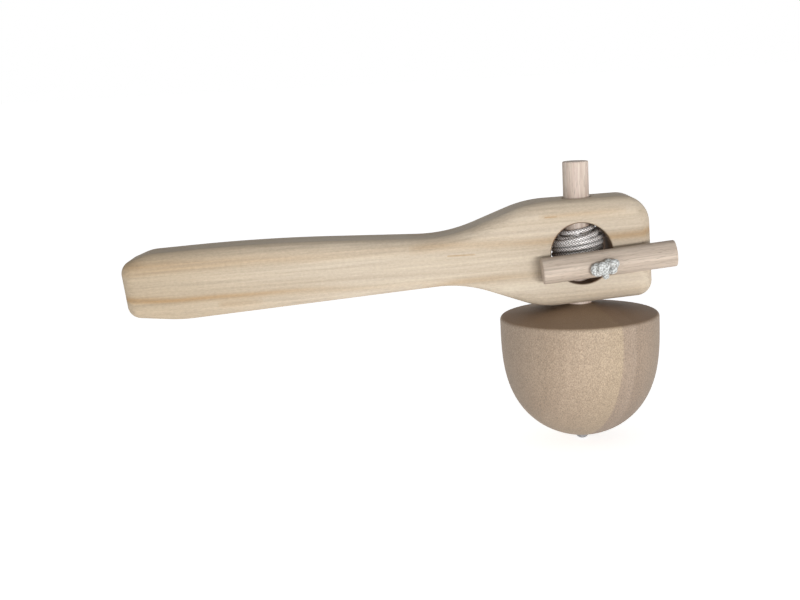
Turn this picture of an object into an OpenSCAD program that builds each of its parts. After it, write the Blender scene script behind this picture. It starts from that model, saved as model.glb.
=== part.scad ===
// Pull-cord spinning top, held in its launching handle.
//
// Frame, in millimetres: the origin is the lowest point of the steel tip, where the top
// touches the floor, and +Z runs up the middle of the stem. The handle reaches out along -X.
// Its front, where the toggle lies, faces -Y, and its flat back faces +Y.

/* [Handle] */
// Thickness of the board that the handle is cut from
handle_t = 24; // [22:0.5:28]
// Lean of the handle on the stem in degrees, butt end down
handle_lean = 1.9; // [0:0.1:2.5]
// Radius that rounds over its front and back edges
edge_r = 5; // [2:0.5:5]
// Height of the window's middle above the floor
window_z = 76; // [75.5:0.5:80]
// Diameter of the round window that the cord is wound in
window_d = 23.4; // [23:0.2:25]
// How far the window's middle sits below the handle's middle line
window_drop = 0.6; // [0:0.1:1]

/* [Top] */
// Largest diameter of the turned wooden body
top_d = 62; // [56:1:64]
// Height of its rim above the floor
rim_z = 50.7; // [48:0.1:51]
// Rise of its upper face, from the rim in to the stem
face_rise = 4.5; // [2:0.1:4.6]
// Radius on the rim's edge
rim_r = 1.4; // [0.5:0.1:2]
// Height of the top end of the stem above the floor
stem_top = 110.3; // [104:0.1:120]
// Diameter of the dowel that the stem and the toggle are cut from
dowel_d = 10; // [9:0.5:10]
// Depth of the stem's socket in the body
socket_depth = 26; // [15:1:32]

/* [Steel tip] */
// Diameter of the nail's domed head
dome_d = 5.8; // [4.5:0.1:7]
// Height of the domed head
dome_h = 2.4; // [1.5:0.1:2.6]
// Diameter of the nail's shank
shank_d = 2.2; // [1.6:0.1:2.4]
// Length of the shank with its point
shank_len = 16; // [10:1:18]

/* [Cord and toggle] */
// Diameter of the braided cord
cord_d = 1.9; // [1.6:0.1:2]
// Length of the toggle
toggle_len = 50.4; // [46:0.2:54]
// Tilt of the toggle across the handle in degrees, right end up
toggle_tilt = 5; // [-25:1:25]
// Diameter of the cord's hole through the toggle
cord_hole_d = 2.5; // [2.3:0.1:3]

/* [Hidden] */

dowel_r = dowel_d / 2;
cord_r = cord_d / 2;
stem_play = 0.4;
coil_play = 0.1;
wall_play = 0.5;
toggle_gap = 0.3;
end_ease = 0.4;

// Outline of the handle: distance along it from the stem, height above its middle line, and
// the radius that rounds the corner. Every stretch is straight or an arc.
outline = [
    [-176.3, 9.3, 5.3],
    [-166.0, 12.9, 14],
    [-122, 13.6, 700],
    [-50.3, 9.3, 58],
    [-18.9, 20.0, 46],
    [27.0, 19.6, 10.5],
    [26.7, -19.1, 6],
    [-16.4, -20.7, 32],
    [-45.7, -8.9, 48],
    [-155, -13.7, 60],
    [-174.8, -11.2, 5.3],
];
arc_step = 7.5;
arc_len = 9;
edge_steps = 5;

// The body's side is a superellipse: flat-bottomed like a bowl, and nearly upright at the rim
side_power = 3.1;
radius_power = 1.9;
side_steps = 36;

// The wound cord is a barrel that fills the window: three layers deep in the middle
layer_pitch = cord_d * sin(60);
coil_r = dowel_r + cord_d + 2 * layer_pitch;
coil_low = -9.4;
coil_high = 9.2;
coil_steps = 12;

// The toggle's middle, which is where the cord runs through it, beside the stem
toggle_x = 9.1;
toggle_y = -(handle_t / 2 + toggle_gap + dowel_r);
toggle_z = window_z - 3.0;
crest_y = toggle_y - dowel_r;

// Free stretch of the cord, from the winding to the back of its knot
lead_path = [
    [9.3, -7.7, window_z - 3.4],
    [9.2, -9.6, window_z - 3.2],
    [9.1, -12, window_z - 3.0],
    [toggle_x, -14, toggle_z],
    [toggle_x, -18, toggle_z],
    [toggle_x, crest_y + 0.1, toggle_z],
];
lead_sides = 8;

// Lumps of the knot: x and z from the cord's hole, how far in front of the toggle, and radius
knot_lumps = [
    [-0.4, -0.2, 1.5, 3.4],
    [-5.4, -1.8, 1.3, 2.7],
    [-2.8, -4.0, -0.2, 1.5],
];

// Angle of a flat vector
function heading(v) = atan2(v[1], v[0]);

// Signed turn between two headings, from -180 to 180
function turn(a, b) = let (d = b - a) d - 360 * round(d / 360);

function unit(v) = v / norm(v);

// Points and outward normals of the arc that rounds corner i of a clockwise outline
function corner(p, i) =
    let (
        n = len(p),
        at = [p[i][0], p[i][1]],
        before = unit([p[(i + n - 1) % n][0], p[(i + n - 1) % n][1]] - at),
        after = unit([p[(i + 1) % n][0], p[(i + 1) % n][1]] - at),
        r = p[i][2],
        half = acos(before * after) / 2,
        centre = at + unit(before + after) * r / sin(half),
        first = heading(at + before * r / tan(half) - centre),
        last = heading(at + after * r / tan(half) - centre),
        sweep = turn(first, last),
        steps = max(2, ceil(abs(sweep) / arc_step), ceil(abs(sweep) * PI / 180 * r / arc_len)),
        side = sweep < 0 ? 1 : -1
    )
    [for (k = [0:steps])
        let (a = first + sweep * k / steps, out = [cos(a), sin(a)])
        [centre + out * r, out * side]];

rim = [for (i = [0:len(outline) - 1]) for (c = corner(outline, i)) c];

// Depth and inset of each layer of the rounded board, front to back
function board_layers() =
    let (flat = handle_t / 2 - edge_r)
    concat(
        [for (k = [edge_steps:-1:0])
            let (a = 90 * k / edge_steps) [-flat - edge_r * sin(a), edge_r * (1 - cos(a))]],
        [for (k = [0:edge_steps])
            let (a = 90 * k / edge_steps) [flat + edge_r * sin(a), edge_r * (1 - cos(a))]]
    );

// Closed mesh through equal rings of points, with a flat end on the first and the last
module skin(rings) {
    n = len(rings[0]);
    last = len(rings) - 1;
    points = [for (ring = rings) for (p = ring) p];
    sides = [for (k = [0:last - 1]) for (i = [0:n - 1])
        [k * n + i, k * n + (i + 1) % n, (k + 1) * n + (i + 1) % n, (k + 1) * n + i]];
    near_end = [for (i = [n - 1:-1:0]) i];
    far_end = [for (i = [0:n - 1]) last * n + i];
    polyhedron(points, concat(sides, [near_end, far_end]), convexity = 6);
}

module board() {
    skin([for (l = board_layers())
        [for (c = rim) let (p = c[0] - c[1] * l[1]) [p[0], l[0], p[1]]]]);
}

module handle() {
    color("burlywood")
    difference() {
        translate([0, 0, window_z + window_drop])
            rotate([0, -handle_lean, 0])
                board();
        // The round window, front to back
        translate([0, 0, window_z])
            rotate([90, 0, 0])
                cylinder(h = handle_t + 4, d = window_d, center = true, $fn = 96);
        // The stem's bore, above and below the window
        translate([0, 0, window_z - 30])
            cylinder(h = 60, r = dowel_r + stem_play, $fn = 64);
    }
}

// A length of dowel along Z with eased ends
module dowel(length) {
    rotate_extrude($fn = 64)
        polygon([
            [0, 0],
            [dowel_r - end_ease, 0],
            [dowel_r - end_ease * 0.3, end_ease * 0.3],
            [dowel_r, end_ease],
            [dowel_r, length - end_ease],
            [dowel_r - end_ease * 0.3, length - end_ease * 0.3],
            [dowel_r - end_ease, length],
            [0, length],
        ]);
}

socket_z = rim_z + face_rise - socket_depth;

module stem() {
    color("tan")
    difference() {
        translate([0, 0, socket_z])
            dowel(stem_top - socket_z);
        // Cross hole that holds the inner end of the cord, under the winding
        translate([0, 0, window_z + coil_high - cord_d])
            rotate([90, 0, 0])
                cylinder(h = dowel_d + 2, r = cord_r + 0.3, center = true, $fn = 32);
    }
}

// Side of the body from its rim down to the flat that the nail's head sits on
function side_profile() =
    let (
        r = top_d / 2,
        low = acos(pow(dome_d / 2 / r, radius_power / 2)),
        deep = (rim_z - rim_r - dome_h) / pow(sin(low), 2 / side_power)
    )
    [for (k = [1:side_steps])
        let (t = low * k / side_steps)
        [r * pow(cos(t), 2 / radius_power), rim_z - rim_r - deep * pow(sin(t), 2 / side_power)]];

module top_body() {
    r = top_d / 2;
    rim_arc = [for (a = [75:-15:0])
        [r - rim_r + rim_r * cos(a), rim_z - rim_r + rim_r * sin(a)]];
    color("rosybrown")
    difference() {
        rotate_extrude($fn = 128)
            polygon(concat([[0, dome_h], [0, rim_z + face_rise]],
                [[dowel_r, rim_z + face_rise]], rim_arc, side_profile()));
        // Socket for the stem and pilot hole for the nail
        translate([0, 0, socket_z])
            cylinder(h = socket_depth + 1, r = dowel_r, $fn = 64);
        translate([0, 0, dome_h - 1])
            cylinder(h = shank_len + 1, d = shank_d, $fn = 32);
    }
}

module steel_tip() {
    dome_r = (pow(dome_d / 2, 2) + pow(dome_h, 2)) / (2 * dome_h);
    point = shank_d;
    color("dimgray")
    union() {
        intersection() {
            translate([0, 0, dome_r])
                sphere(r = dome_r, $fn = 64);
            cylinder(h = dome_h, d = dome_d + 2, $fn = 64);
        }
        translate([0, 0, dome_h])
            rotate_extrude($fn = 32)
                polygon([[0, 0], [shank_d / 2, 0], [shank_d / 2, shank_len - point], [0, shank_len]]);
    }
}

module cord_coil() {
    span = window_d / 2 - wall_play;
    outer = [for (k = [0:coil_steps])
        let (z = coil_low + (coil_high - coil_low) * k / coil_steps)
        [min(coil_r, sqrt(span * span - z * z)), z]];
    color("gainsboro")
    translate([0, 0, window_z])
        rotate_extrude($fn = 64)
            polygon(concat([[dowel_r + coil_play, coil_low]], outer, [[dowel_r + coil_play, coil_high]]));
}

// Ring of points round a path at point i, square to the path there
function tube_ring(path, i, r, sides) =
    let (
        last = len(path) - 1,
        along = unit(path[min(i + 1, last)] - path[max(i - 1, 0)]),
        across = unit(cross(along, [0, 0, 1])),
        up = cross(across, along)
    )
    [for (k = [0:sides - 1])
        let (a = 360 * k / sides) path[i] + r * (cos(a) * across + sin(a) * up)];

module cord_lead() {
    color("whitesmoke")
        skin([for (i = [0:len(lead_path) - 1]) tube_ring(lead_path, i, cord_r, lead_sides)]);
}

// The toggle's dowel, lying across the handle's front with its middle on the cord
module toggle_dowel() {
    translate([toggle_x, toggle_y, toggle_z])
        rotate([0, 90 - toggle_tilt, 0])
            translate([0, 0, -toggle_len / 2])
                dowel(toggle_len);
}

module toggle() {
    color("tan")
    difference() {
        toggle_dowel();
        translate([toggle_x, toggle_y, toggle_z])
            rotate([90, 0, 0])
                cylinder(h = dowel_d + 2, d = cord_hole_d, center = true, $fn = 32);
    }
}

module cord_knot() {
    color("white")
    difference() {
        union() {
            for (lump = knot_lumps)
                translate([toggle_x + lump[0], crest_y - lump[2], toggle_z + lump[1]])
                    sphere(r = lump[3], $fn = 48);
        }
        // The knot is pulled down onto the toggle
        translate([toggle_x, toggle_y, toggle_z])
            rotate([0, 90 - toggle_tilt, 0])
                cylinder(h = toggle_len, r = dowel_r, center = true, $fn = 64);
    }
}

handle();
stem();
top_body();
steel_tip();
cord_coil();
cord_lead();
toggle();
cord_knot();
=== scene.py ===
"""Visual model of a pull-cord spinning top in its launching handle, around its CAD frame.

The frame is in metres: the origin is the lowest point of the steel tip, +Z runs up the stem,
the handle reaches out along -X and its front, where the toggle lies, faces -Y.
"""

import math

import bpy
import numpy as np
from mathutils import Matrix, Vector


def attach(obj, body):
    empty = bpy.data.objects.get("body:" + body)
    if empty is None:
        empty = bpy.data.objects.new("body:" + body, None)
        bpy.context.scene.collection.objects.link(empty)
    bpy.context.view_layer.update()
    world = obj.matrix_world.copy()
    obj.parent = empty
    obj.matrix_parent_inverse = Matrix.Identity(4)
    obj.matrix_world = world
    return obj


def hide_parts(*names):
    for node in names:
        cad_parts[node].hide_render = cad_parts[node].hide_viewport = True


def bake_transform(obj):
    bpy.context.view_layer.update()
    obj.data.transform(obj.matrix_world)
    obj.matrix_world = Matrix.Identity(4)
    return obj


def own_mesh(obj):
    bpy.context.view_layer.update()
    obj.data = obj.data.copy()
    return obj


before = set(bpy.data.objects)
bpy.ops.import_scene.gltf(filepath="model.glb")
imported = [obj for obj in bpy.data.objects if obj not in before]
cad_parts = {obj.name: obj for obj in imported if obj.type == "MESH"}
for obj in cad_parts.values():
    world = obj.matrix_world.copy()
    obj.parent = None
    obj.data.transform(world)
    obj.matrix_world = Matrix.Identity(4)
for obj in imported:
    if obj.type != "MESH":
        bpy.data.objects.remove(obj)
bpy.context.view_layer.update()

MM = 0.001

# Places and sizes that the CAD states, in millimetres
WINDOW_Z = 76.0
WINDOW_D = 23.4
MIDDLE_Z = 76.6
HANDLE_LEAN = math.radians(1.9)
HANDLE_T = 24.0
EDGE_R = 5.0
BORE_R = 5.4
CORD_D = 1.9
TOGGLE_AT = Vector((9.1, -17.3, 73.0))
TOGGLE_TILT = math.radians(5)
CREST_Y = -22.3


# Camera ---------------------------------------------------------------------------------

CAMERA_AT = Vector((-71.1, -475.2, 144.7)) * MM
CAMERA_AZIMUTH = math.radians(-0.13)
CAMERA_ELEVATION = math.radians(10.145)
CAMERA_ROLL = math.radians(-2.98)
CAMERA_LENS = 55.46


def make_camera():
    """Camera at the viewing angle, a little above the handle and rolled slightly."""
    data = bpy.data.cameras.new("camera")
    data.lens = CAMERA_LENS
    data.sensor_width = 36
    data.clip_start = 0.02
    data.clip_end = 50
    camera = bpy.data.objects.new("camera", data)
    bpy.context.scene.collection.objects.link(camera)
    az, el, roll = CAMERA_AZIMUTH, CAMERA_ELEVATION, CAMERA_ROLL
    back = Vector((math.sin(az) * math.cos(el), -math.cos(az) * math.cos(el), math.sin(el)))
    level = Vector((math.cos(az), math.sin(az), 0))
    upright = back.cross(level)
    right = math.cos(roll) * level + math.sin(roll) * upright
    up = math.cos(roll) * upright - math.sin(roll) * level
    turned = Matrix((right, up, back)).transposed().to_4x4()
    camera.matrix_world = Matrix.Translation(CAMERA_AT) @ turned
    bpy.context.scene.camera = camera


# Meshes ---------------------------------------------------------------------------------


def add_mesh(name, points, faces, smooth_angle=35):
    """New mesh object from points in millimetres, smooth apart from edges sharper than the angle."""
    mesh = bpy.data.meshes.new(name)
    mesh.from_pydata([Vector(p) * MM for p in points], [], faces)
    mesh.update()
    mesh.shade_smooth()
    mesh.set_sharp_from_angle(angle=math.radians(smooth_angle))
    obj = bpy.data.objects.new(name, mesh)
    bpy.context.scene.collection.objects.link(obj)
    return obj


def skin_faces(rings, count):
    """Faces of a closed skin over equal rings of points, with a flat end on each."""
    faces = []
    for ring in range(0, (rings - 1) * count, count):
        for i in range(count):
            after = (i + 1) % count
            faces.append((ring + i, ring + after, ring + count + after, ring + count + i))
    first_end = tuple(range(count - 1, -1, -1))
    last_end = tuple(range((rings - 1) * count, rings * count))
    return faces + [first_end, last_end]


def lathe(name, profile, sides=96, smooth_angle=35):
    """Solid turned about Z from (radius, height) points; its first and last radius are not zero."""
    turns = [2 * math.pi * i / sides for i in range(sides)]
    points = [(r * math.cos(a), r * math.sin(a), z) for r, z in profile for a in turns]
    return add_mesh(name, points, skin_faces(len(profile), sides), smooth_angle)


def smooth_route(points, per_span=24):
    """Points along a smooth curve through the given ones (Catmull-Rom)."""
    p = [np.array(q, float) for q in points]
    p = [2 * p[0] - p[1]] + p + [2 * p[-1] - p[-2]]
    route = []
    for a, b, c, d in zip(p, p[1:], p[2:], p[3:]):
        for t in np.arange(per_span) / per_span:
            bend = (2 * a - 5 * b + 4 * c - d) * t**2 + (3 * b - a - 3 * c + d) * t**3
            route.append(0.5 * (2 * b + (c - a) * t + bend))
    return np.array(route + [p[-2]])


def even_route(route, step):
    """The same route with its points a fixed step apart, and how far along it each one lies."""
    lengths = np.concatenate([[0], np.cumsum(np.linalg.norm(np.diff(route, axis=0), axis=1))])
    at = np.linspace(0, lengths[-1], max(2, round(lengths[-1] / step) + 1))
    return np.stack([np.interp(at, lengths, route[:, k]) for k in range(3)], axis=1), at


# Braid: strands that wind each way, the length of one strand's turn, and how deep the gaps
# between the strands are; then the mesh's corners round the cord and its step along it
STRANDS = 5
BRAID_PITCH = 5.4
BRAID_RELIEF = 0.2
CORD_SIDES = 24
CORD_STEP = 0.3


def braided_cord(name, route, step=CORD_STEP, diameter=CORD_D):
    """Round braided cord along a route in millimetres: strands wind both ways and bulge in diamonds."""
    line, along = even_route(np.asarray(route, float), step)
    tangents = np.gradient(line, axis=0)
    tangents /= np.linalg.norm(tangents, axis=1)[:, None]
    side = np.cross(tangents[0], (0.31, 0.17, 0.93))
    angles = np.arange(CORD_SIDES) * 2 * np.pi / CORD_SIDES
    points, relief = [], []
    for at, centre, tangent in zip(along, line, tangents):
        side = side - tangent * (side @ tangent)
        side /= np.linalg.norm(side)
        other = np.cross(tangent, side)
        twist = 2 * np.pi * STRANDS * at / BRAID_PITCH
        one_way = np.sin((STRANDS * angles + twist) / 2)
        other_way = np.sin((STRANDS * angles - twist) / 2)
        diamonds = np.sqrt(np.abs(one_way * other_way))
        radius = diameter / 2 - BRAID_RELIEF * (1 - diamonds)
        round_way = np.outer(np.cos(angles), side) + np.outer(np.sin(angles), other)
        ring = centre + radius[:, None] * round_way
        points.append(ring)
        relief.append(diamonds)
    obj = add_mesh(name, np.concatenate(points), skin_faces(len(line), CORD_SIDES), 80)
    weave = obj.data.attributes.new("weave", "FLOAT", "POINT")
    weave.data.foreach_set("value", np.concatenate(relief).astype(np.float32))
    return obj, line


# Cord -----------------------------------------------------------------------------------

COIL_TURNS = 20.75
TURN_POINTS = 48
# Rise of each turn from left to right, as a share of its width
WINDING_LEAN = 0.1
# Winding on the stem: turns wound so far, radius of the cord's middle, and its height from
# the window's middle
WINDING = [
    (0.00, 6.0, 7.3),
    (0.50, 6.0, 8.3),
    (0.80, 6.0, 8.3),
    (8.45, 6.0, -8.2),
    (8.85, 7.6, -6.7),
    (15.75, 7.6, 6.7),
    (16.15, 9.24, 4.4),
    (16.70, 9.24, 4.4),
    (20.75, 9.24, -3.6),
]


def coil_route():
    """The cord's middle line from its hole in the stem through three wound layers, in millimetres."""
    steps = int(COIL_TURNS * TURN_POINTS)
    turns = np.linspace(0, COIL_TURNS, steps + 1)
    known = np.array(WINDING)
    radius = np.interp(turns, known[:, 0], known[:, 1])
    height = np.interp(turns, known[:, 0], known[:, 2])
    # The cord leaves the front of the stem and winds clockwise, seen from above
    angle = -np.pi / 2 - 2 * np.pi * turns
    across = radius * np.cos(angle)
    # Each turn lies a little higher on the right, as the hand that wound it held the cord
    height = height + WINDING_LEAN * across
    return np.stack([across, radius * np.sin(angle), WINDOW_Z + height], axis=1)


# Free stretch from the winding's last turn to its knot. From the fourth point on it is the
# CAD's own route
LEAD_POINTS = [
    (9.2, 1.6, 73.3),
    (9.3, -1.5, 73.2),
    (9.4, -4.8, 72.9),
    (9.3, -7.7, 72.6),
    (9.2, -9.6, 72.8),
    (9.1, -12.0, 73.0),
    (9.1, -14.0, 73.0),
    (9.1, -18.0, 73.0),
    (9.1, -22.2, 73.0),
]

# Size and depth of the knot's loops, and the cord's thickness where it is bunched in the knot
KNOT_SCALE = 0.66
KNOT_DEPTH = 0.8
KNOT_CORD_D = 2.6


def knot_route():
    """An overhand knot in front of the toggle's hole, a hitch beside it, and a short tail."""

    def front(x, z, out):
        return (TOGGLE_AT.x + x, CREST_Y - out, TOGGLE_AT.z + z)

    overhand = []
    for t in np.linspace(0.35, 2 * np.pi - 0.55, 26):
        x = KNOT_SCALE * (math.sin(t) + 2 * math.sin(2 * t)) - 0.2
        z = KNOT_SCALE * (math.cos(t) - 2 * math.cos(2 * t)) - 0.3
        overhand.append(front(x, z, 2.0 - KNOT_DEPTH * math.sin(3 * t)))
    hitch = []
    for t in np.linspace(0.15, 2.3, 12):
        turn = math.pi * t
        hitch.append(front(-5.4 + 1.3 * math.cos(turn), -1.6 + 1.35 * math.sin(turn), 0.9 + 0.75 * t))
    tail = [
        front(-3.3, 0.3, 2.4),
        front(-2.5, -1.5, 2.5),
        front(-2.5, -3.3, 2.0),
        front(-2.2, -4.5, 1.2),
    ]
    from_hole = [front(0, 0, -1.2), front(0.1, 0.1, 0.4)]
    return smooth_route(from_hole + overhand + hitch + tail, 10)


def make_cord():
    """The wound cord, its free stretch and its knot."""
    coil, line = braided_cord("wound_cord", coil_route())
    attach(coil, "wound_cord")
    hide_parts("cord_coil")
    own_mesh(coil)

    lead, lead_line = braided_cord("cord_lead_braid", smooth_route(LEAD_POINTS))
    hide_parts("cord_lead")
    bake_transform(lead)

    knot, knot_line = braided_cord("knot_braid", knot_route(), 0.25, KNOT_CORD_D)
    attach(knot, "toggle")
    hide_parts("cord_knot")

    pieces = [coil, lead, knot]
    return pieces


# Materials ------------------------------------------------------------------------------


class Paint:
    """A material's node tree with short ways to add nodes and wire them."""

    def __init__(self, name):
        self.material = bpy.data.materials.new(name)
        self.material.use_nodes = True
        self.tree = self.material.node_tree
        self.shader = self.tree.nodes["Principled BSDF"]
        self.place = self.tree.nodes.new("ShaderNodeTexCoord").outputs["Object"]

    def feed(self, socket, value):
        """Wires an output into a socket, or sets the socket to a constant."""
        if isinstance(value, bpy.types.NodeSocket):
            self.tree.links.new(value, socket)
        else:
            socket.default_value = value

    def math(self, operation, *values, clamp=False):
        node = self.tree.nodes.new("ShaderNodeMath")
        node.operation, node.use_clamp = operation, clamp
        for socket, value in zip(node.inputs, values):
            self.feed(socket, value)
        return node.outputs[0]

    def axes(self, vector):
        node = self.tree.nodes.new("ShaderNodeSeparateXYZ")
        self.feed(node.inputs[0], vector)
        return node.outputs

    def scaled(self, vector, scale):
        """A place stretched along each axis, so that a texture runs along the grain."""
        node = self.tree.nodes.new("ShaderNodeVectorMath")
        node.operation = "MULTIPLY"
        self.feed(node.inputs[0], vector)
        node.inputs[1].default_value = scale
        return node.outputs[0]

    def turned(self, vector, angle, centre):
        """A place turned back about Y, so that X runs along a leaning piece."""
        node = self.tree.nodes.new("ShaderNodeVectorRotate")
        node.rotation_type = "Y_AXIS"
        self.feed(node.inputs["Vector"], vector)
        node.inputs["Center"].default_value = centre
        node.inputs["Angle"].default_value = angle
        return node.outputs[0]

    def noise(self, vector, detail=3, roughness=0.55, distortion=0.0):
        node = self.tree.nodes.new("ShaderNodeTexNoise")
        self.feed(node.inputs["Vector"], vector)
        node.inputs["Scale"].default_value = 1
        node.inputs["Detail"].default_value = detail
        node.inputs["Roughness"].default_value = roughness
        node.inputs["Distortion"].default_value = distortion
        return node.outputs["Fac"]

    def ramp(self, value, stops):
        """Colours, or greys given as single numbers, at the stated places from 0 to 1."""
        node = self.tree.nodes.new("ShaderNodeValToRGB")
        ramp = node.color_ramp
        while len(ramp.elements) < len(stops):
            ramp.elements.new(0.5)
        for element, (place, colour) in zip(ramp.elements, stops):
            rgb = colour if isinstance(colour, tuple) else (colour,) * 3
            element.position = place
            element.color = (*rgb, 1)
        self.feed(node.inputs[0], value)
        return node.outputs[0]

    def span(self, value, low, high, to_low=0.0, to_high=1.0):
        node = self.tree.nodes.new("ShaderNodeMapRange")
        self.feed(node.inputs["Value"], value)
        node.inputs["From Min"].default_value = low
        node.inputs["From Max"].default_value = high
        node.inputs["To Min"].default_value = to_low
        node.inputs["To Max"].default_value = to_high
        return node.outputs[0]

    def mix(self, share, first, second, blend="MIX"):
        node = self.tree.nodes.new("ShaderNodeMix")
        node.data_type, node.blend_type = "RGBA", blend
        self.feed(node.inputs[0], share)
        for socket, value in ((node.inputs[6], first), (node.inputs[7], second)):
            self.feed(socket, (*value, 1) if isinstance(value, tuple) else value)
        return node.outputs[2]

    def curve(self, value, low, high, points):
        """A smooth curve through (place, value) points, for places from low to high."""
        node = self.tree.nodes.new("ShaderNodeFloatCurve")
        floor = min(v for _, v in points)
        rise = max(max(v for _, v in points) - floor, 1e-6)
        marks = node.mapping.curves[0].points
        while len(marks) < len(points):
            marks.new(0.5, 0.5)
        for mark, (place, v) in zip(marks, points):
            mark.location = ((place - low) / (high - low), (v - floor) / rise)
        node.mapping.update()
        self.feed(node.inputs["Value"], self.span(value, low, high))
        return self.math("MULTIPLY_ADD", node.outputs[0], rise, floor)

    def finish(self, colour, roughness, bump, depth):
        """Wires the finished colour, roughness and bump height, whose full height is depth in metres."""
        self.feed(self.shader.inputs["Base Color"], colour)
        self.feed(self.shader.inputs["Roughness"], roughness)
        node = self.tree.nodes.new("ShaderNodeBump")
        node.inputs["Strength"].default_value = 1
        node.inputs["Distance"].default_value = depth
        self.feed(node.inputs["Height"], bump)
        self.feed(self.shader.inputs["Normal"], node.outputs[0])
        return self.material


PINE_LIGHT = (0.55, 0.47, 0.37)
PINE_WARM = (0.50, 0.41, 0.305)
# Painted shade for the light falling off towards the butt end
PINE_BUTT_SHADE = (0.42, 0.33, 0.225)
PINE_LATE = (0.38, 0.25, 0.13)
# Painted shade for the window's wall, over its darker end grain
DRILLED_WALL_SHADE = (0.13, 0.062, 0.028)
# Stretch of the handle, along it in millimetres, that the bands' curves cover
PINE_REACH = (-180, 30)

# Bands of late wood along the handle: half width, then (place along it, height above its
# middle line, strength), all in millimetres except the strength
PINE_BANDS = [
    (
        1.2,
        [
            (-178, -3.6, 1.0),
            (-173, -3.9, 1.0),
            (-146, -5.4, 0.8),
            (-123, -5.6, 0.6),
            (-100, -6.2, 0.3),
            (-70, -6.8, 0.0),
        ],
    ),
    (1.7, [(-178, 8.5, 0.5), (-171, 8.2, 0.5), (-145, 7.4, 0.4), (-99, 7.0, 0.28), (-60, 6.4, 0.1)]),
    (1.0, [(-178, 5.4, 0.0), (-164, 5.6, 0.3), (-145, 5.6, 0.2), (-120, 5.2, 0.0)]),
    (1.9, [(-66, 6.0, 0.0), (-57, 6.4, 0.4), (-42, 6.4, 0.35), (-16, 5.8, 0.55), (26, 5.8, 0.85)]),
    (1.6, [(-62, -9.2, 0.0), (-55, -8.8, 0.4), (-39, -7.4, 0.45), (-28, -7.3, 0.35), (-8, -7.6, 0.0)]),
    (1.3, [(-16, 15.0, 0.0), (-7, 15.1, 0.4), (8, 15.1, 0.35), (18, 15.2, 0.0)]),
    (1.4, [(-140, -8.6, 0.0), (-136, -8.6, 0.35), (-128, -8.6, 0.3), (-122, -8.6, 0.0)]),
    (0.3, [(-52, 2.4, 0.0), (-49, 2.4, 0.7), (-43, 2.5, 0.6), (-40, 2.5, 0.0)]),
    (0.25, [(-14, 14.6, 0.0), (-12.5, 14.6, 0.8), (-10, 14.6, 0.7), (-8.5, 14.6, 0.0)]),
]


def pine():
    """Sanded bare pine with its grain along the handle and a few bands of darker late wood."""
    p = Paint("pine")
    leaning = p.turned(p.place, HANDLE_LEAN, (0, 0, MIDDLE_Z * MM))
    x, y, z = p.axes(p.scaled(leaning, (1000, 1000, 1000)))
    drift = p.noise(p.scaled(leaning, (22, 60, 60)), detail=1)
    height = p.math("SUBTRACT", z, MIDDLE_Z)
    height = p.math("MULTIPLY_ADD", y, -0.18, p.math("SUBTRACT", height, 2.1))
    height = p.math("MULTIPLY_ADD", p.math("SUBTRACT", drift, 0.5), 3.0, height)
    fibres = p.noise(p.scaled(leaning, (18, 900, 900)), detail=4, roughness=0.6)
    streaks = p.noise(p.scaled(leaning, (5, 160, 160)), detail=2)
    pores = p.noise(p.scaled(leaning, (160, 3600, 3600)), detail=2)
    colour = p.mix(p.span(streaks, 0.35, 0.7), PINE_LIGHT, PINE_WARM)
    # Painted shade: the pine darkens towards the butt end, where the light falls off
    colour = p.mix(p.span(x, -90, -172, 0, 0.8), colour, PINE_BUTT_SHADE)
    for half_width, marks in PINE_BANDS:
        centre = p.curve(x, *PINE_REACH, [(at, level) for at, level, _ in marks])
        strength = p.curve(x, *PINE_REACH, [(at, share) for at, _, share in marks])
        offset = p.math("DIVIDE", p.math("SUBTRACT", height, centre), half_width)
        near = p.math("POWER", 2.718, p.math("MULTIPLY", p.math("MULTIPLY", offset, offset), -1.0))
        broken = p.math("MULTIPLY", near, p.span(fibres, 0.25, 0.6, 0.65, 1.1))
        colour = p.mix(p.math("MULTIPLY", broken, strength, clamp=True), colour, PINE_LATE)
    specks = p.noise(p.scaled(leaning, (700, 1500, 1500)), detail=3, roughness=0.7)
    colour = p.mix(0.6, colour, p.ramp(fibres, [(0.3, 0.38), (0.5, 0.5), (0.7, 0.6)]), "OVERLAY")
    colour = p.mix(0.5, colour, p.ramp(specks, [(0.3, 0.4), (0.7, 0.6)]), "OVERLAY")
    colour = p.mix(p.span(pores, 0.62, 0.75, 0, 0.25), colour, PINE_LATE)
    # The drilled window's wall is darkened: partly its darker end grain, mostly painted shade for the
    # shadow inside the window
    upright_z = p.axes(p.scaled(p.place, (1000, 1000, 1000)))[2]
    rise_squared = p.math("POWER", p.math("SUBTRACT", upright_z, WINDOW_Z), 2)
    from_window = p.math("SQRT", p.math("ADD", p.math("MULTIPLY", x, x), rise_squared))
    drilled = p.span(from_window, 12.2, 11.75)
    colour = p.mix(p.math("MULTIPLY", drilled, 0.88), colour, DRILLED_WALL_SHADE)
    roughness = p.math("MULTIPLY_ADD", drilled, 0.35, p.span(fibres, 0.3, 0.7, 0.5, 0.62))
    p.shader.inputs["Specular IOR Level"].default_value = 0.25
    return p.finish(colour, roughness, p.math("ADD", fibres, pores), 0.00006)


TURNED_TONES = [
    (0.0, (0.34, 0.265, 0.20)),
    (0.13, (0.36, 0.275, 0.20)),
    (0.22, (0.41, 0.315, 0.23)),
    (0.54, (0.43, 0.335, 0.235)),
    (0.555, (0.345, 0.265, 0.20)),
    (0.64, (0.355, 0.275, 0.21)),
    (0.652, (0.315, 0.24, 0.18)),
    (1.0, (0.30, 0.235, 0.175)),
]
TURNED_DARK = (0.22, 0.13, 0.07)
# Painted shade laid over the body's lower part
LOW_SHADE = (0.55, 0.55, 0.56)


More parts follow.
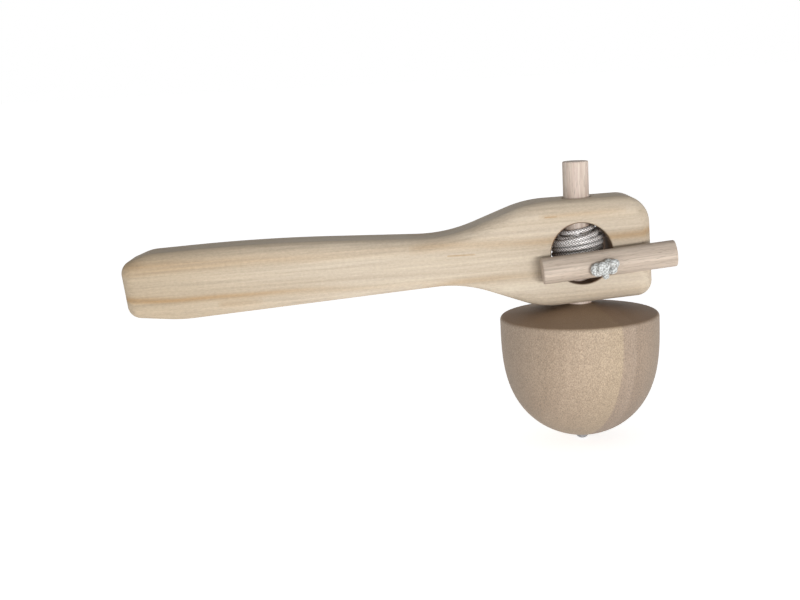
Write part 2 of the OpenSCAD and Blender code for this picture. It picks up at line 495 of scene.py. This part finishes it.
def turned_wood():
    """Bare close-grained hardwood with upright grain, fine flecks and a sharp change of growth ring."""
    p = Paint("turned_wood")
    x, y, z = p.axes(p.scaled(p.place, (1000, 1000, 1000)))
    drift = p.noise(p.scaled(p.place, (90, 90, 18)), detail=2)
    ring = p.math("MULTIPLY_ADD", y, 0.25, p.math("MULTIPLY_ADD", z, -0.05, x))
    ring = p.math("MULTIPLY_ADD", p.math("SUBTRACT", drift, 0.5), 2.5, ring)
    rise = p.math("SUBTRACT", z, 36)
    ring = p.math("MULTIPLY_ADD", p.math("MULTIPLY", rise, rise), 0.005, ring)
    tone = p.ramp(p.span(ring, -32, 32), TURNED_TONES)
    fibres = p.noise(p.scaled(p.place, (2400, 2400, 1700)), detail=4, roughness=0.65)
    flecks = p.noise(p.scaled(p.place, (3300, 3300, 2300)), detail=2, roughness=0.6)
    bands = p.noise(p.scaled(p.place, (260, 160, 6)), detail=2)
    colour = p.mix(0.5, tone, p.ramp(bands, [(0.35, 0.47), (0.65, 0.53)]), "OVERLAY")
    colour = p.mix(1.0, colour, p.ramp(fibres, [(0.3, 0.3), (0.5, 0.5), (0.7, 0.68)]), "OVERLAY")
    colour = p.mix(p.span(flecks, 0.55, 0.7, 0, 0.45), colour, TURNED_DARK)
    # Painted shade: the body darkens towards its bottom
    low = p.mix(0.75, colour, LOW_SHADE, "MULTIPLY")
    colour = p.mix(p.span(z, 34, 4), colour, low)
    # Upward-facing surfaces are darker: partly the end grain's own darker tone, partly painted shade for
    # the upper face lying under the handle and turned from the light
    facing = p.axes(p.tree.nodes["Texture Coordinate"].outputs["Normal"])[2]
    colour = p.mix(p.span(facing, 0.5, 0.9, 0, 0.6), colour, TURNED_DARK)
    p.shader.inputs["Specular IOR Level"].default_value = 0.3
    return p.finish(colour, p.span(fibres, 0.3, 0.7, 0.52, 0.66), p.math("ADD", fibres, flecks), 0.00007)


def dowel_wood(name, along, light, dark):
    """Bare dowel with fine streaks and short dark pores along its own axis."""
    p = Paint(name)
    place = p.place if along == "Z" else p.turned(p.place, TOGGLE_TILT, tuple(TOGGLE_AT * MM))

    def stretched(across, lengthwise):
        return (across, across, lengthwise) if along == "Z" else (lengthwise, across, across)
    broad = p.noise(p.scaled(place, stretched(330, 9)), detail=2)
    fibres = p.noise(p.scaled(place, stretched(1500, 40)), detail=4, roughness=0.65)
    pores = p.noise(p.scaled(place, stretched(3800, 260)), detail=1)
    colour = p.mix(p.span(broad, 0.38, 0.66), light, dark)
    colour = p.mix(0.8, colour, p.ramp(fibres, [(0.3, 0.34), (0.5, 0.5), (0.7, 0.62)]), "OVERLAY")
    colour = p.mix(p.span(pores, 0.6, 0.72, 0, 0.55), colour, tuple(0.45 * c for c in dark))
    p.shader.inputs["Specular IOR Level"].default_value = 0.35
    return p.finish(colour, p.span(fibres, 0.3, 0.7, 0.48, 0.62), p.math("ADD", fibres, pores), 0.00007)


def steel():
    """Plain steel nail head, lightly rubbed, with fine scratches and a duller film."""
    p = Paint("steel")
    rubbed = p.noise(p.scaled(p.place, (900, 5000, 900)), detail=3, roughness=0.7)
    film = p.noise(p.scaled(p.place, (700, 700, 700)), detail=3)
    colour = p.mix(p.span(film, 0.35, 0.7), (0.42, 0.42, 0.43), (0.22, 0.21, 0.21))
    p.shader.inputs["Metallic"].default_value = 1
    return p.finish(colour, p.span(rubbed, 0.3, 0.7, 0.28, 0.5), rubbed, 0.00002)


def braid(name, tones, shine):
    """Satin braid: strands lighter at their crests, the gaps where they cross under each other darkened
    with painted shade.
    """
    p = Paint(name)
    weave = p.tree.nodes.new("ShaderNodeAttribute")
    weave.attribute_name = "weave"
    height = weave.outputs["Fac"]
    threads = p.noise(p.scaled(p.place, (2600, 2600, 2600)), detail=3)
    patches = p.noise(p.scaled(p.place, (300, 300, 300)), detail=2)
    # The tones darken the gaps with painted shade and, on the silver, brighten the crests with painted
    # highlight
    colour = p.ramp(height, list(zip((0.32, 0.56, 0.72), tones)))
    colour = p.mix(0.35, colour, p.ramp(threads, [(0.3, 0.35), (0.7, 0.62)]), "OVERLAY")
    colour = p.mix(p.span(patches, 0.5, 0.75, 0, 0.25), colour, (0.5, 0.44, 0.38))
    p.shader.inputs["Metallic"].default_value = shine
    p.shader.inputs["Specular IOR Level"].default_value = 0.8
    return p.finish(colour, p.span(threads, 0.3, 0.7, 0.26, 0.42), threads, 0.00006)


def clad(obj, material):
    """Gives a piece its material."""
    obj.data.materials.clear()
    obj.data.materials.append(material)


# Handle ---------------------------------------------------------------------------------

# Outline: place along the handle, height above its middle line, radius that rounds the corner
OUTLINE = [
    (-176.3, 9.3, 5.3),
    (-166.0, 12.9, 14),
    (-122, 13.6, 700),
    (-50.3, 9.3, 58),
    (-18.9, 20.0, 46),
    (27.0, 19.6, 10.5),
    (26.7, -19.1, 6),
    (-16.4, -20.7, 32),
    (-45.7, -8.9, 48),
    (-155, -13.7, 60),
    (-174.8, -11.2, 5.3),
]
# Fineness of the board's mesh: the widest angle and length of one step round a corner, and
# the steps across a rounded edge
ARC_STEP = math.radians(3)
ARC_LENGTH = 6.0
EDGE_STEPS = 10
# Heights of the handle's upper and lower surface on the stem's axis
BORE_TOP_Z = 96.3
BORE_BOTTOM_Z = 56.3
# How far the rims of the window and the bore are eased
WINDOW_EASE = 0.7
BORE_EASE = 0.4


def rounded_corner(before, at, after, radius):
    """Points and outward normals of the arc that rounds one corner of a clockwise outline."""
    a, b = (before - at).normalized(), (after - at).normalized()
    half = a.angle(b) / 2
    centre = at + (a + b).normalized() * radius / math.sin(half)
    first = at + a * radius / math.tan(half) - centre
    last = at + b * radius / math.tan(half) - centre
    start = math.atan2(first.y, first.x)
    sweep = (math.atan2(last.y, last.x) - start + math.pi) % (2 * math.pi) - math.pi
    steps = max(3, math.ceil(abs(sweep) / ARC_STEP), math.ceil(abs(sweep) * radius / ARC_LENGTH))
    side = 1 if sweep < 0 else -1
    arc = []
    for k in range(steps + 1):
        out = Vector((math.cos(start + sweep * k / steps), math.sin(start + sweep * k / steps)))
        arc.append((centre + out * radius, out * side))
    return arc


def board():
    """The handle's board: its outline with both edges rounded over, leaning on the stem."""
    spots = [Vector(p[:2]) for p in OUTLINE]
    rim = []
    for i, (_, _, radius) in enumerate(OUTLINE):
        rim += rounded_corner(spots[i - 1], spots[i], spots[(i + 1) % len(spots)], radius)
    flat = HANDLE_T / 2 - EDGE_R
    layers = []
    for side, order in ((-1, range(EDGE_STEPS, -1, -1)), (1, range(EDGE_STEPS + 1))):
        for k in order:
            a = math.pi / 2 * k / EDGE_STEPS
            layers.append((side * (flat + EDGE_R * math.sin(a)), EDGE_R * (1 - math.cos(a))))
    points = []
    lean = Matrix.Rotation(-HANDLE_LEAN, 3, "Y")
    for depth, inset in layers:
        for spot, out in rim:
            flat_spot = spot - out * inset
            points.append(lean @ Vector((flat_spot.x, depth, flat_spot.y)) + Vector((0, 0, MIDDLE_Z)))
    return add_mesh("handle_board", points, skin_faces(len(layers), len(rim)))


def eased_drill(name, radius, near, far, ease):
    """Cutter along Z for a hole whose two rims, at the heights near and far, are eased round."""
    profile = [(radius + ease, near - 3), (radius + ease, near)]
    arc = [math.pi / 2 * k / 5 for k in range(1, 6)]
    profile += [(radius + ease * (1 - math.sin(a)), near + ease * (1 - math.cos(a))) for a in arc]
    mirrored = [(r, near + far - z) for r, z in reversed(profile)]
    return lathe(name, profile + mirrored, 128)


def cut(obj, cutter):
    """Takes the cutter's shape out of the object for good."""
    modifier = obj.modifiers.new("cut", "BOOLEAN")
    modifier.operation, modifier.solver, modifier.object = "DIFFERENCE", "EXACT", cutter
    evaluated = obj.evaluated_get(bpy.context.evaluated_depsgraph_get())
    mesh = bpy.data.meshes.new_from_object(evaluated)
    obj.modifiers.clear()
    obj.data = mesh
    bpy.data.objects.remove(cutter)


def make_handle():
    """Handle with its round window and the stem's bore, rims eased, as one smooth mesh."""
    obj = board()
    window = eased_drill("window", WINDOW_D / 2, -HANDLE_T / 2, HANDLE_T / 2, WINDOW_EASE)
    window.matrix_world = Matrix.Translation((0, 0, WINDOW_Z * MM)) @ Matrix.Rotation(math.pi / 2, 4, "X")
    bore = eased_drill("bore", BORE_R, BORE_BOTTOM_Z, BORE_TOP_Z, BORE_EASE)
    for cutter in (window, bore):
        bpy.context.view_layer.update()
        cut(obj, cutter)
    obj.data.shade_smooth()
    obj.data.set_sharp_from_angle(angle=math.radians(40))
    weighted = obj.modifiers.new("even_shading", "WEIGHTED_NORMAL")
    weighted.keep_sharp = True
    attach(obj, "handle")
    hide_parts("handle")
    clad(obj, pine())



# Room -----------------------------------------------------------------------------------


FLOOR_REACH = 40
FLOOR_DROP = 0.0002
FLOOR_GLOW = 0.71
SKY = 0.39
BACKDROP = 1.0
FRONT_LIGHT = 21.5
FRONT_LIGHT_AT = (0.42, -1.6, 0.07)
FRONT_LIGHT_AIM = (0.02, 0, 0.07)
FRONT_LIGHT_SIZE = (0.6, 0.24)


def make_room():
    """Pale floor, a soft even sky, a pale backdrop behind, and one soft light in front."""
    mesh = bpy.data.meshes.new("floor")
    corners = [(x * FLOOR_REACH, y * FLOOR_REACH, 0) for x, y in ((-1, -1), (1, -1), (1, 1), (-1, 1))]
    mesh.from_pydata(corners, [], [(0, 1, 2, 3)])
    floor = bpy.data.objects.new("floor", mesh)
    floor.location.z = -FLOOR_DROP
    bpy.context.scene.collection.objects.link(floor)
    pale = bpy.data.materials.new("pale_floor")
    pale.use_nodes = True
    shader = pale.node_tree.nodes["Principled BSDF"]
    shader.inputs["Base Color"].default_value = (0.85, 0.85, 0.85, 1)
    shader.inputs["Roughness"].default_value = 0.9
    shader.inputs["Specular IOR Level"].default_value = 0
    shader.inputs["Emission Color"].default_value = (1, 1, 1, 1)
    shader.inputs["Emission Strength"].default_value = FLOOR_GLOW
    mesh.materials.append(pale)

    world = bpy.data.worlds.new("studio")
    bpy.context.scene.world = world
    world.use_nodes = True
    tree = world.node_tree
    background = tree.nodes["Background"]
    place = tree.nodes.new("ShaderNodeTexCoord")
    behind = tree.nodes.new("ShaderNodeVectorMath")
    behind.operation = "DOT_PRODUCT"
    behind.inputs[1].default_value = (0, 0.5, -1)
    ramp = tree.nodes.new("ShaderNodeValToRGB")
    tree.links.new(place.outputs["Generated"], behind.inputs[0])
    tree.links.new(behind.outputs["Value"], ramp.inputs[0])
    tree.links.new(ramp.outputs[0], background.inputs["Color"])
    ramp.color_ramp.elements[0].position = 0.05
    ramp.color_ramp.elements[0].color = (SKY, SKY, SKY, 1)
    ramp.color_ramp.elements[1].position = 0.35
    ramp.color_ramp.elements[1].color = (BACKDROP, BACKDROP, BACKDROP, 1)
    background.inputs["Strength"].default_value = 1

    data = bpy.data.lights.new("front_light", "AREA")
    data.shape = "RECTANGLE"
    data.size, data.size_y = FRONT_LIGHT_SIZE
    data.energy = FRONT_LIGHT
    light = bpy.data.objects.new("front_light", data)
    light.location = FRONT_LIGHT_AT
    aim = Vector(FRONT_LIGHT_AIM) - light.location
    light.rotation_euler = aim.to_track_quat("-Z", "Y").to_euler()
    bpy.context.scene.collection.objects.link(light)
    bpy.context.scene.view_settings.view_transform = "Standard"



# Build ----------------------------------------------------------------------------------

# Braid colours from the gaps up to the strands' crests: the gaps in painted shade, brown on the silver
# for light off the wooden window, and the silver's crests a painted highlight; then dowel colours, light
# and dark
SILVER_TONES = ((0.05, 0.034, 0.026), (0.66, 0.61, 0.58), (1.0, 1.0, 1.0))
WHITE_TONES = ((0.22, 0.22, 0.21), (0.45, 0.46, 0.45), (0.62, 0.64, 0.63))
STEM_TONES = ((0.65, 0.55, 0.48), (0.54, 0.435, 0.36))
TOGGLE_TONES = ((0.54, 0.45, 0.37), (0.44, 0.355, 0.285))

make_camera()
cords = make_cord()
silver = braid("silver_braid", SILVER_TONES, 0.1)
white = braid("white_braid", WHITE_TONES, 0)
for piece, material in zip(cords, (silver, silver, white)):
    clad(piece, material)
make_handle()
for node, material, slot in (
    ("stem", dowel_wood("stem_dowel", "Z", *STEM_TONES), "dowel_wood"),
    ("toggle", dowel_wood("toggle_dowel", "X", *TOGGLE_TONES), "dowel_wood"),
    ("top_body", turned_wood(), "turned_wood"),
    ("steel_tip", steel(), "steel"),
):
    obj = bpy.data.objects[node]
    clad(obj, material)
    obj.data.shade_smooth()
    obj.data.set_sharp_from_angle(angle=math.radians(30))
make_room()
